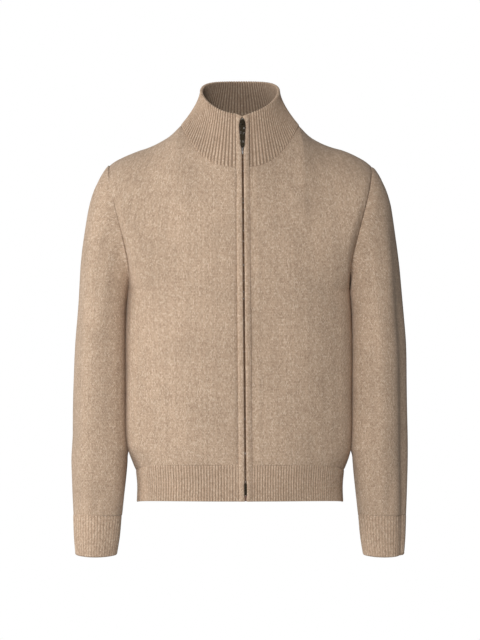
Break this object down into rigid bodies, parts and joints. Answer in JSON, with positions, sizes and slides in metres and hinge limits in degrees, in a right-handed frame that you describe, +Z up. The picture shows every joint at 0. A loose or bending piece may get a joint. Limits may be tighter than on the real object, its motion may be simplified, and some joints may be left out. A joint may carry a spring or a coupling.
{
  "type": "zip-up cardigan",
  "caption": "Knitted zip-up cardigan with a ribbed funnel collar, ribbed hem and cuffs, long set-in sleeves and a hinged pull tab, filled out as worn.",
  "frame": {"origin": "between the wearer's shoulders, on the centre line, at the height of the middle of the shoulder seams, midway between front and back", "axes": "+Z up, -Y out of the front with the zip, +X to the wearer's left"},
  "size_m": [0.587, 0.2331, 0.8335],
  "materials": {
    "jersey": "beige melange wool jersey",
    "rib": "beige melange wool rib",
    "tape": "brown woven zip tape",
    "zip_metal": "dark gunmetal",
    "pull_metal": "dark gunmetal"
  },
  "bodies": {
    "garment": {"front_left": "jersey", "front_right": "jersey", "back": "jersey", "sleeve_left_upper": "jersey", "sleeve_left_lower": "jersey", "sleeve_right_upper": "jersey", "sleeve_right_lower": "jersey", "cuff_left": "rib", "cuff_right": "rib", "hem_rib_left": "rib", "hem_rib_right": "rib", "hem_rib_back": "rib", "collar": "rib", "zip_band_left": "jersey", "zip_band_right": "jersey", "zip_tape_left": "tape", "zip_tape_right": "tape", "zip_teeth_left": "zip_metal", "zip_teeth_right": "zip_metal", "zip_box": "zip_metal", "zip_slider": "zip_metal"},
    "pull_tab": {"pull_tab": "pull_metal"}
  },
  "joints": [
    {"name": "pull_tab_hinge", "type": "hinge", "parent": "garment", "child": "pull_tab", "pos_m": [0.0041, -0.075, 0.0462], "axis": [-1, 0, 0], "range_deg": [0, 165]}
  ]
}
